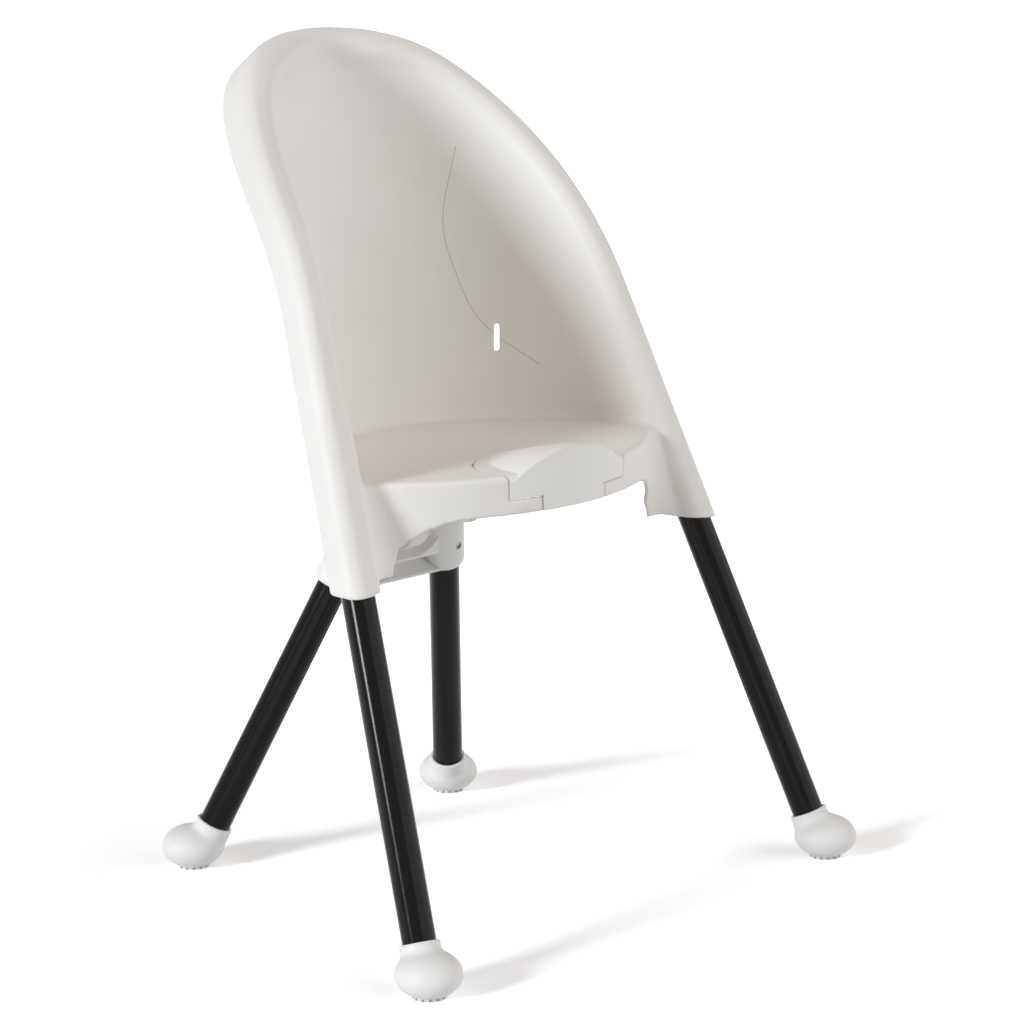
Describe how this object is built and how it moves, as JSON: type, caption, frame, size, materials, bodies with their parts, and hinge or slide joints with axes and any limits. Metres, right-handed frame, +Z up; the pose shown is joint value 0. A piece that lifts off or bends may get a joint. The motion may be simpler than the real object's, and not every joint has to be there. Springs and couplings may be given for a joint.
{
  "type": "baby high chair",
  "caption": "Folding baby high chair: white bucket seat with a rolled rim arch and a fold release lever, on splayed black tube legs with ball feet.",
  "frame": {"origin": "on the floor, midway between the feet", "axes": "+Z up, the chair faces -Y, +X to the right as seen from the front"},
  "size_m": [0.631, 0.5114, 0.8431],
  "materials": {
    "shell_plastic": "satin moulded white",
    "lever_plastic": "satin moulded white",
    "bracket_plastic": "satin moulded white",
    "foot_plastic": "satin moulded white",
    "leg_paint": "gloss black paint",
    "pin_steel": "zinc plated",
    "hidden_nylon": "grey nylon",
    "sole_rubber": "white ribbed rubber"
  },
  "bodies": {
    "root": {"seat_shell": "shell_plastic", "front_leg_left": "leg_paint", "front_leg_right": "leg_paint", "front_foot_left": "foot_plastic", "front_foot_right": "foot_plastic", "front_foot_soles": "sole_rubber", "front_foot_discs": "hidden_nylon", "front_leg_screws": "pin_steel", "hinge_pin": "pin_steel", "hinge_caps": "bracket_plastic", "hinge_washers": "hidden_nylon", "lever_pin": "pin_steel", "latch_spring": "pin_steel"},
    "rear_frame": {"rear_bracket": "bracket_plastic", "rear_leg_left": "leg_paint", "rear_leg_right": "leg_paint", "rear_foot_left": "foot_plastic", "rear_foot_right": "foot_plastic", "rear_foot_soles": "sole_rubber", "rear_foot_discs": "hidden_nylon", "rear_leg_screws": "pin_steel"},
    "lever": {"release_lever": "lever_plastic"},
    "latch": {"latch_bolt": "hidden_nylon", "latch_cross_pin": "pin_steel", "latch_collar": "pin_steel"}
  },
  "joints": [
    {"name": "rear_fold", "type": "hinge", "parent": "root", "child": "rear_frame", "pos_m": [0, 0.0997, 0.352], "axis": [-1, 0, 0], "range_deg": [0, 64]},
    {"name": "release_lever", "type": "hinge", "parent": "root", "child": "lever", "pos_m": [0, -0.06, 0.431], "axis": [-1, 0, 0], "range_deg": [0, 12]},
    {"name": "latch_slide", "type": "slide", "parent": "root", "child": "latch", "axis": [0, -0.9342, 0.3568], "range_m": [0, 0.00384], "stiffness_N_per_m": 400, "springref_m": -0.006, "deforming": ["latch_spring"]}
  ],
  "couplings": [
    {"joint": "latch_slide", "follows": "release_lever", "m_per_rad": 0.018325}
  ]
}
